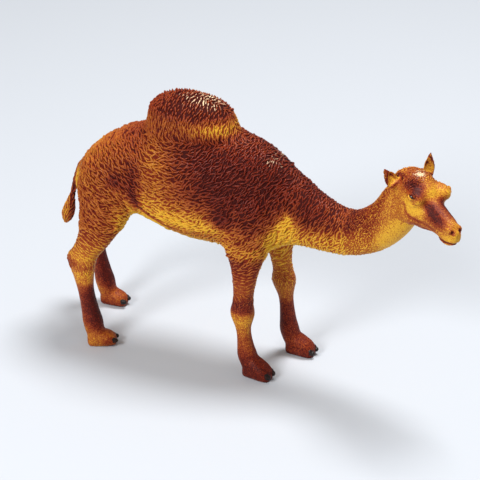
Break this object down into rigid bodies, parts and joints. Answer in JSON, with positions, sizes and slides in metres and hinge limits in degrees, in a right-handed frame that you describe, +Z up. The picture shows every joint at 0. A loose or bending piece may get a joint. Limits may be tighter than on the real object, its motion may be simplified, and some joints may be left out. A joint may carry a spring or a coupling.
{
  "type": "toy dromedary figurine",
  "caption": "Moulded plastic dromedary camel figure, walking with its head turned to its right, wrinkled coat relief, painted in browns over golden yellow",
  "frame": {"origin": "on the floor under the middle of the figure's bounding box", "axes": "+X towards the head, +Y to the animal's left, +Z up"},
  "size_m": [0.1568, 0.0368, 0.0991],
  "materials": {
    "coat": "soft plastic with an airbrushed satin paint, dark brown over golden yellow",
    "jaw": "golden yellow satin paint",
    "wool": "dark brown satin paint on nubbed wool relief",
    "horn": "near-black paint",
    "eye": "glossy dark paint"
  },
  "bodies": {
    "root": {"trunk": "coat", "hump": "wool", "neck": "coat", "head": "coat", "lower_jaw": "jaw", "ear_right": "coat", "ear_left": "coat", "eye_right": "eye", "eye_left": "eye", "tail": "coat", "tail_tuft": "wool", "hindleg_right": "coat", "hindleg_left": "coat", "foreleg_right": "coat", "foreleg_left": "coat", "hind_foot_right": "coat", "hind_foot_left": "coat", "fore_foot_right": "coat", "fore_foot_left": "coat", "hind_nail_right_outer": "horn", "hind_nail_right_inner": "horn", "hind_nail_left_outer": "horn", "hind_nail_left_inner": "horn", "fore_nail_right_outer": "horn", "fore_nail_right_inner": "horn", "fore_nail_left_outer": "horn", "fore_nail_left_inner": "horn"}
  },
  "joints": []
}
